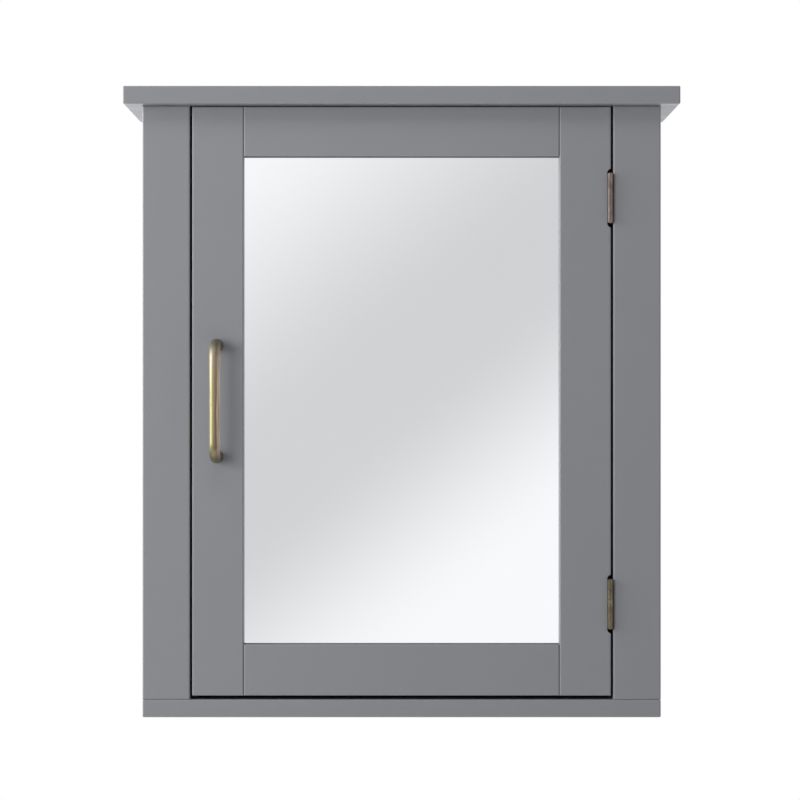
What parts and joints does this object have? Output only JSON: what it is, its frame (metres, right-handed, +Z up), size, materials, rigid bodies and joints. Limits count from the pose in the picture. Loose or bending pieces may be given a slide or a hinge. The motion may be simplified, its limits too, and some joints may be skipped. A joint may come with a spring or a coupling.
{
  "type": "hanging wall cabinet",
  "caption": "Wall-hung storage cabinet with a framed mirror door on butt hinges, a bow handle, a magnetic catch, adjustable shelves and an overhanging cap.",
  "frame": {"origin": "on the wall plane, at the middle of the line through the two wall-fixing holes", "axes": "+X to the right of a person facing the cabinet, +Y from the cabinet into the wall, +Z up"},
  "size_m": [0.559, 0.1955, 0.635],
  "materials": {
    "grey_paint": "satin mid-grey paint on engineered board",
    "back_hardboard": "hardboard, painted grey on the inside face",
    "backing_board": "smooth hardboard",
    "mirror": "silvered flat glass",
    "antique_brass": "antique brass, brushed and darkened in the recesses",
    "hinge_brass": "antiqued brass plate, mottled",
    "brass_screw": "antiqued brass plate",
    "zinc_steel": "bright zinc plate",
    "beech_dowel": "raw beech",
    "moulded_plastic": "moulded grey plastic",
    "ferrite": "sintered ferrite"
  },
  "bodies": {
    "carcass": {"back_panel": "back_hardboard", "back_panel_screws": "zinc_steel", "bottom_board": "grey_paint", "bottom_dowels": "beech_dowel", "bottom_screws": "zinc_steel", "cam_bolts": "zinc_steel", "cam_covers": "moulded_plastic", "cam_locks": "zinc_steel", "cap_dowels": "beech_dowel", "catch_housing": "moulded_plastic", "catch_magnet": "ferrite", "catch_pole_plates": "zinc_steel", "catch_screws": "zinc_steel", "face_stile_left": "grey_paint", "face_stile_right": "grey_paint", "hanging_rail": "grey_paint", "hinge_lower_pin": "hinge_brass", "hinge_lower_stile_leaf": "hinge_brass", "hinge_stile_screws": "brass_screw", "hinge_upper_pin": "hinge_brass", "hinge_upper_stile_leaf": "hinge_brass", "rail_dowels": "beech_dowel", "shelf_lower": "grey_paint", "shelf_pins": "zinc_steel", "shelf_upper": "grey_paint", "side_panel_left": "grey_paint", "side_panel_right": "grey_paint", "stile_dowels": "beech_dowel", "top_cap": "grey_paint"},
    "door": {"door_dowels": "beech_dowel", "door_rail_bottom": "grey_paint", "door_rail_top": "grey_paint", "door_stile_left": "grey_paint", "door_stile_right": "grey_paint", "handle": "antique_brass", "handle_screws": "zinc_steel", "hinge_door_screws": "brass_screw", "hinge_lower_door_leaf": "hinge_brass", "hinge_upper_door_leaf": "hinge_brass", "mirror_backing": "backing_board", "mirror_clip_screws": "zinc_steel", "mirror_clips": "zinc_steel", "mirror_glass": "mirror", "strike_plate": "zinc_steel", "strike_screw": "zinc_steel"}
  },
  "joints": [
    {"name": "door_hinge", "type": "hinge", "parent": "carcass", "child": "door", "pos_m": [0.2105, -0.1635, -0.263], "axis": [0, 0, 1], "range_deg": [0, 170]}
  ]
}
